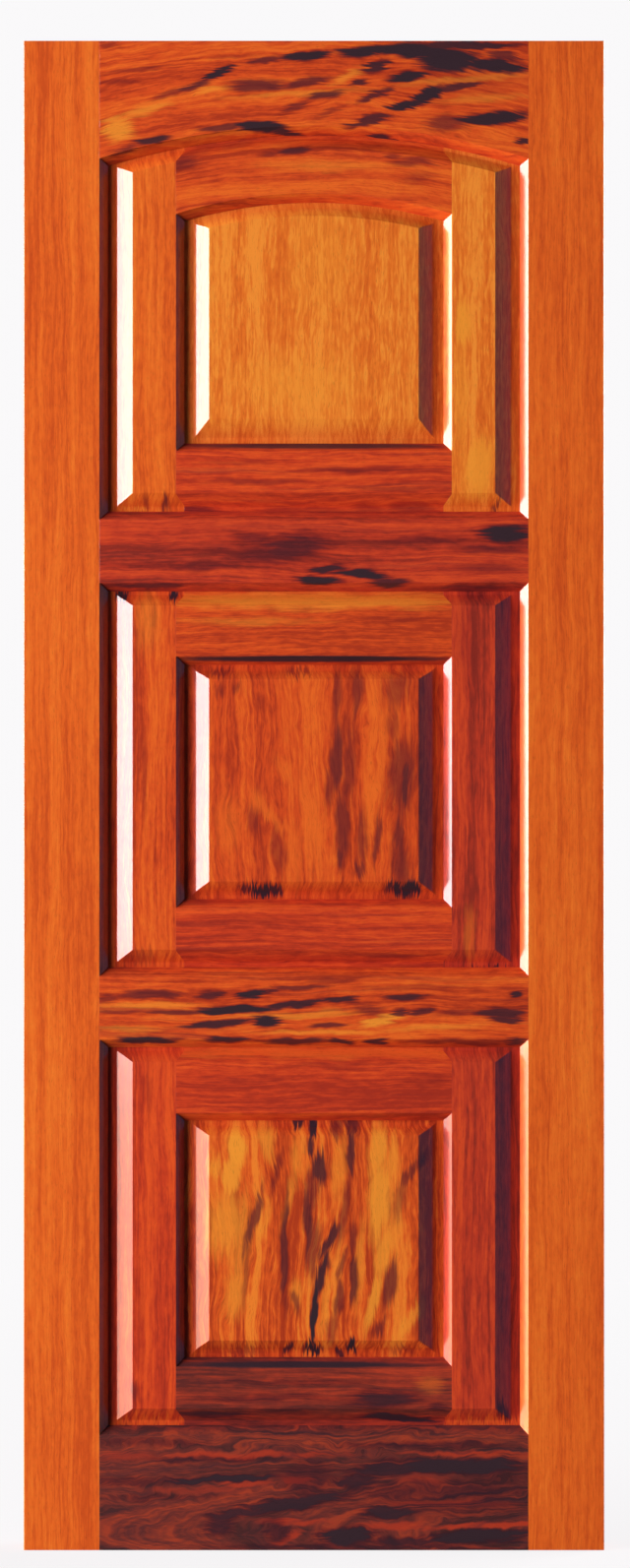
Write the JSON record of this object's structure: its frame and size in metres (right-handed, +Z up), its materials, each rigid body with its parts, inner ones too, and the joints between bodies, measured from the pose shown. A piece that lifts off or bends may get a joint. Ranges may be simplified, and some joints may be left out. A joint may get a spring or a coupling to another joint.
{
  "type": "panelled front door leaf",
  "caption": "Solid hardwood front door leaf with raised frames and raised panels set one inside the other, and an arched head to the upper panel.",
  "frame": {"origin": "middle of the leaf's bottom edge, halfway through its thickness", "axes": "+X across the leaf to the right as seen from the front, +Y through its thickness away from the front, +Z up"},
  "size_m": [0.762, 0.044, 1.981],
  "materials": {
    "stile_timber": "glossy clear varnish over orange hardwood",
    "rail_timber": "glossy clear varnish over dark streaked hardwood",
    "inner_frame_timber": "glossy clear varnish over red hardwood",
    "panel_timber": "glossy clear varnish over figured hardwood",
    "dowel_timber": "bare pale hardwood"
  },
  "bodies": {
    "root": {"bottom_rail": "rail_timber", "frame_dowels": "dowel_timber", "left_stile": "stile_timber", "lower_centre_panel": "panel_timber", "lower_inner_bottom_rail": "inner_frame_timber", "lower_inner_left_stile": "inner_frame_timber", "lower_inner_right_stile": "inner_frame_timber", "lower_inner_top_rail": "inner_frame_timber", "lower_rail": "rail_timber", "middle_centre_panel": "panel_timber", "middle_inner_bottom_rail": "inner_frame_timber", "middle_inner_left_stile": "inner_frame_timber", "middle_inner_right_stile": "inner_frame_timber", "middle_inner_top_rail": "inner_frame_timber", "right_stile": "stile_timber", "top_rail": "rail_timber", "upper_centre_panel": "panel_timber", "upper_inner_bottom_rail": "inner_frame_timber", "upper_inner_left_stile": "inner_frame_timber", "upper_inner_right_stile": "inner_frame_timber", "upper_inner_top_rail": "inner_frame_timber", "upper_rail": "rail_timber"}
  },
  "joints": []
}
